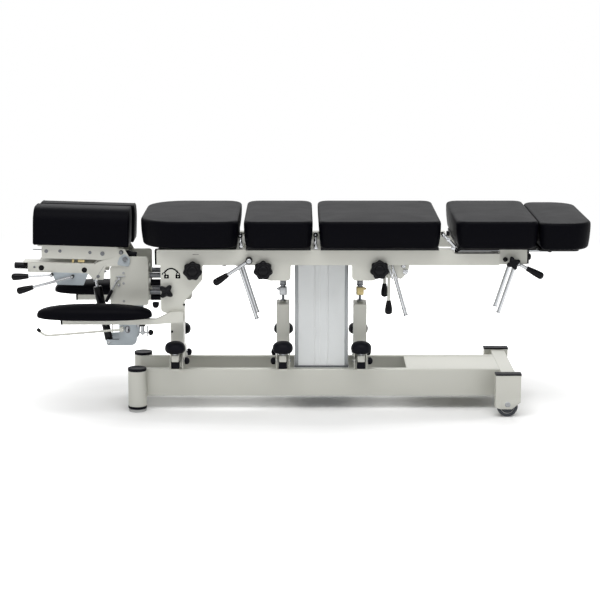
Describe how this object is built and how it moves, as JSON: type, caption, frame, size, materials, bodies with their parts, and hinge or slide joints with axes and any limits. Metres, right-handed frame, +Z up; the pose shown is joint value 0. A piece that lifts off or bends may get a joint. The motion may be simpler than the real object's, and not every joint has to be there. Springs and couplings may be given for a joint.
{
  "type": "chiropractic drop table",
  "caption": "Long treatment table with hinged drop sections on a lifting column, a tilting split head rest, folding armrests, foot pedals and castors.",
  "frame": {"origin": "on the floor, under the middle of the table's outline", "axes": "+X along the table from the head end to the foot end, +Y across to the far side, +Z up from the floor"},
  "size_m": [2.0669, 0.6096, 0.7385],
  "materials": {
    "powder_coat": "warm off-white textured powder coat on welded steel",
    "black_plastic": "black moulded knobs, grips and laminated boards",
    "black_vinyl": "blue-black upholstery vinyl over foam",
    "black_rubber": "dark rubber pads, glides and treads",
    "chrome": "bright chromed rod",
    "zinc": "zinc plated steel",
    "column_aluminium": "satin anodised extrusion"
  },
  "bodies": {
    "base": {"base_beam_far": "powder_coat", "base_beam_near": "powder_coat", "foot_glide_far": "black_rubber", "foot_glide_near": "black_rubber", "lift_column_outer": "column_aluminium", "pedal_tower_chest": "powder_coat", "pedal_tower_lumbar": "powder_coat", "pedal_tower_pelvic": "powder_coat", "wheel_frame": "powder_coat"},
    "top_frame": {"foot_slide_housing": "powder_coat", "frame_cross_head": "powder_coat", "lift_subframe": "powder_coat", "push_rod_chest": "zinc", "push_rod_lumbar": "zinc", "push_rod_pelvic": "zinc", "side_frame_far": "powder_coat", "side_frame_near": "powder_coat"},
    "wheel_near": {"castor_wheel_near": "black_rubber"},
    "wheel_far": {"castor_wheel_far": "black_rubber"},
    "pedal_chest_near": {"foot_pedal_chest_near": "black_rubber"},
    "pedal_chest_far": {"foot_pedal_chest_far": "black_rubber"},
    "pedal_lumbar_near": {"foot_pedal_lumbar_near": "black_rubber"},
    "pedal_lumbar_far": {"foot_pedal_lumbar_far": "black_rubber"},
    "pedal_pelvic_near": {"foot_pedal_pelvic_near": "black_rubber"},
    "pedal_pelvic_far": {"foot_pedal_pelvic_far": "black_rubber"},
    "tension_knob_chest": {"tension_knob_chest": "black_plastic"},
    "tension_knob_lumbar": {"tension_knob_lumbar": "black_plastic"},
    "tension_knob_pelvic": {"tension_knob_pelvic": "black_plastic"},
    "star_knob_head": {"star_knob_head": "black_plastic"},
    "star_knob_foot": {"star_knob_foot": "black_plastic"},
    "lumbar_lever": {"lumbar_lever": "black_plastic"},
    "foot_lever": {"foot_lever": "black_plastic"},
    "release_levers": {"pelvic_release_levers": "black_plastic"},
    "cocking_lever_chest": {"cocking_lever_chest": "chrome"},
    "cocking_lever_pelvic": {"cocking_lever_pelvic": "chrome"},
    "cocking_lever_foot": {"cocking_lever_foot": "chrome"},
    "chest_section": {"chest_board": "black_plastic", "chest_cushion": "black_vinyl"},
    "lumbar_section": {"lumbar_board": "black_plastic", "lumbar_cushion": "black_vinyl"},
    "pelvic_section": {"pelvic_board": "black_plastic", "pelvic_cushion": "black_vinyl"},
    "leg_section": {"foot_cushion": "black_vinyl", "leg_carriage": "black_plastic", "leg_cushion": "black_vinyl"},
    "head_slide": {"head_carrier": "powder_coat"},
    "head_tilt": {"head_beam": "powder_coat"},
    "head_drop": {"head_deck": "powder_coat"},
    "head_cushion_near": {"head_cushion_near": "black_vinyl"},
    "head_cushion_far": {"head_cushion_far": "black_vinyl"},
    "head_tilt_lever": {"head_tilt_lever": "black_plastic"},
    "head_width_lever": {"head_width_lever": "black_plastic"},
    "head_crank": {"head_tension_grip": "black_plastic"},
    "strut_swing": {"head_strut_cylinder": "black_plastic"},
    "strut_reach": {"head_strut_rod": "chrome"},
    "bent_bar": {"head_release_bar": "powder_coat"},
    "armrest_near": {"armrest_arm_near": "powder_coat", "armrest_pad_near": "black_vinyl"},
    "armrest_far": {"armrest_arm_far": "powder_coat", "armrest_pad_far": "black_vinyl"}
  },
  "joints": [
    {"name": "lift", "type": "slide", "parent": "base", "child": "top_frame", "axis": [0, 0, 1], "range_m": [0, 0.18]},
    {"name": "castor_near", "type": "hinge", "parent": "base", "child": "wheel_near", "pos_m": [0.7495, -0.218, 0.0375], "axis": [0, 1, 0], "continuous": true},
    {"name": "castor_far", "type": "hinge", "parent": "base", "child": "wheel_far", "pos_m": [0.7495, 0.218, 0.0375], "axis": [0, 1, 0], "continuous": true},
    {"name": "pedal_chest_near", "type": "hinge", "parent": "base", "child": "pedal_chest_near", "pos_m": [-0.4435, -0.075, 0.171], "axis": [1, 0, 0], "range_deg": [0, 7], "stiffness_Nm_per_rad": 6, "springref_deg": -5.73},
    {"name": "pedal_chest_far", "type": "hinge", "parent": "base", "child": "pedal_chest_far", "pos_m": [-0.4435, 0.075, 0.171], "axis": [-1, 0, 0], "range_deg": [0, 7], "stiffness_Nm_per_rad": 6, "springref_deg": -5.73},
    {"name": "pedal_lumbar_near", "type": "hinge", "parent": "base", "child": "pedal_lumbar_near", "pos_m": [-0.0565, -0.075, 0.171], "axis": [1, 0, 0], "range_deg": [0, 7], "stiffness_Nm_per_rad": 6, "springref_deg": -5.73},
    {"name": "pedal_lumbar_far", "type": "hinge", "parent": "base", "child": "pedal_lumbar_far", "pos_m": [-0.0565, 0.075, 0.171], "axis": [-1, 0, 0], "range_deg": [0, 7], "stiffness_Nm_per_rad": 6, "springref_deg": -5.73},
    {"name": "pedal_pelvic_near", "type": "hinge", "parent": "base", "child": "pedal_pelvic_near", "pos_m": [0.2255, -0.075, 0.171], "axis": [1, 0, 0], "range_deg": [0, 7], "stiffness_Nm_per_rad": 6, "springref_deg": -5.73},
    {"name": "pedal_pelvic_far", "type": "hinge", "parent": "base", "child": "pedal_pelvic_far", "pos_m": [0.2255, 0.075, 0.171], "axis": [-1, 0, 0], "range_deg": [0, 7], "stiffness_Nm_per_rad": 6, "springref_deg": -5.73},
    {"name": "tension_turn_chest", "type": "hinge", "parent": "top_frame", "child": "tension_knob_chest", "pos_m": [-0.3735, -0.2196, 0.534], "axis": [0, -1, 0], "continuous": true},
    {"name": "tension_turn_lumbar", "type": "hinge", "parent": "top_frame", "child": "tension_knob_lumbar", "pos_m": [-0.1245, -0.2196, 0.536], "axis": [0, -1, 0], "continuous": true},
    {"name": "tension_turn_pelvic", "type": "hinge", "parent": "top_frame", "child": "tension_knob_pelvic", "pos_m": [0.2865, -0.2196, 0.538], "axis": [0, -1, 0], "continuous": true},
    {"name": "star_turn_head", "type": "hinge", "parent": "top_frame", "child": "star_knob_head", "pos_m": [-0.4675, -0.2196, 0.46], "axis": [0, -1, 0], "continuous": true},
    {"name": "star_turn_foot", "type": "hinge", "parent": "top_frame", "child": "star_knob_foot", "pos_m": [0.7575, -0.2, 0.562], "axis": [0, -1, 0], "continuous": true},
    {"name": "lumbar_lever_turn", "type": "hinge", "parent": "top_frame", "child": "lumbar_lever", "pos_m": [-0.1745, -0.22, 0.5695], "axis": [0, 1, 0], "range_deg": [-30, 30]},
    {"name": "foot_lever_turn", "type": "hinge", "parent": "top_frame", "child": "foot_lever", "pos_m": [0.7775, -0.2, 0.556], "axis": [0, 1, 0], "range_deg": [-25, 25]},
    {"name": "release_levers_swing", "type": "hinge", "parent": "top_frame", "child": "release_levers", "pos_m": [0.323, 0, 0.505], "axis": [0, 1, 0], "range_deg": [-20, 20]},
    {"name": "cocking_swing_chest", "type": "hinge", "parent": "top_frame", "child": "cocking_lever_chest", "pos_m": [-0.2165, 0, 0.53], "axis": [0, 1, 0], "range_deg": [0, 20.5]},
    {"name": "cocking_swing_pelvic", "type": "hinge", "parent": "top_frame", "child": "cocking_lever_pelvic", "pos_m": [0.3365, 0, 0.53], "axis": [0, -1, 0], "range_deg": [0, 20.5]},
    {"name": "cocking_swing_foot", "type": "hinge", "parent": "top_frame", "child": "cocking_lever_foot", "pos_m": [0.7865, 0, 0.53], "axis": [0, -1, 0], "range_deg": [0, 20]},
    {"name": "chest_drop", "type": "hinge", "parent": "top_frame", "child": "chest_section", "pos_m": [-0.2195, 0, 0.606], "axis": [0, 1, 0], "range_deg": [0, 2.3]},
    {"name": "lumbar_drop", "type": "hinge", "parent": "top_frame", "child": "lumbar_section", "pos_m": [0.0435, 0, 0.606], "axis": [0, 1, 0], "range_deg": [0, 2.3]},
    {"name": "pelvic_drop", "type": "hinge", "parent": "top_frame", "child": "pelvic_section", "pos_m": [0.0785, 0, 0.606], "axis": [0, -1, 0], "range_deg": [0, 2.3]},
    {"name": "leg_slide", "type": "slide", "parent": "top_frame", "child": "leg_section", "axis": [1, 0, 0], "range_m": [0, 0.14]},
    {"name": "head_slide", "type": "slide", "parent": "top_frame", "child": "head_slide", "axis": [-1, 0, 0], "range_m": [0, 0.05]},
    {"name": "head_tilt", "type": "hinge", "parent": "head_slide", "child": "head_tilt", "pos_m": [-0.6245, 0, 0.552], "axis": [0, 1, 0], "range_deg": [-18, 10]},
    {"name": "head_drop", "type": "hinge", "parent": "head_tilt", "child": "head_drop", "pos_m": [-0.63816, 0, 0.57702], "axis": [0, 1, 0], "range_deg": [0, 2.3]},
    {"name": "head_cushion_spread_near", "type": "slide", "parent": "head_drop", "child": "head_cushion_near", "axis": [0, -1, 0], "range_m": [0, 0.02]},
    {"name": "head_cushion_spread_far", "type": "slide", "parent": "head_drop", "child": "head_cushion_far", "axis": [0, 1, 0], "range_m": [0, 0.02]},
    {"name": "head_tilt_lever_turn", "type": "hinge", "parent": "head_tilt", "child": "head_tilt_lever", "pos_m": [-0.88825, -0.1015, 0.4968], "axis": [0, 1, 0], "range_deg": [0, 25]},
    {"name": "head_width_lever_turn", "type": "hinge", "parent": "head_tilt", "child": "head_width_lever", "pos_m": [-0.81371, -0.1015, 0.49059], "axis": [0, -1, 0], "range_deg": [0, 20]},
    {"name": "head_tension_turn", "type": "hinge", "parent": "head_tilt", "child": "head_crank", "pos_m": [-0.96949, -0.075, 0.52372], "axis": [0.9996, 0, -0.0297], "continuous": true},
    {"name": "strut_swing", "type": "hinge", "parent": "head_slide", "child": "strut_swing", "pos_m": [-0.6935, -0.035, 0.2359], "axis": [0, 1, 0], "range_deg": [-2.7, 4.8]},
    {"name": "strut_reach", "type": "slide", "parent": "strut_swing", "child": "strut_reach", "axis": [-0.1911, 0, 0.9816], "range_m": [-0.0405, 0.0228]},
    {"name": "release_bar_swing", "type": "hinge", "parent": "head_slide", "child": "bent_bar", "pos_m": [-0.6445, -0.06, 0.288], "axis": [0, 1, 0], "range_deg": [-8, 15]},
    {"name": "armrest_fold_near", "type": "hinge", "parent": "top_frame", "child": "armrest_near", "pos_m": [-0.4285, -0.2196, 0.367], "axis": [0, -1, 0], "range_deg": [0, 30]},
    {"name": "armrest_fold_far", "type": "hinge", "parent": "top_frame", "child": "armrest_far", "pos_m": [-0.4285, 0.2196, 0.367], "axis": [0, -1, 0], "range_deg": [0, 30]}
  ],
  "couplings": [
    {"joint": "cocking_swing_chest", "follows": "chest_drop", "ratio": 8.8},
    {"joint": "cocking_swing_pelvic", "follows": "pelvic_drop", "ratio": 8.8},
    {"joint": "head_cushion_spread_far", "follows": "head_cushion_spread_near", "ratio": 1},
    {"joint": "strut_swing", "follows": "head_tilt", "ratio": -0.26182},
    {"joint": "strut_reach", "follows": "head_tilt", "m_per_rad": 0.12814}
  ]
}
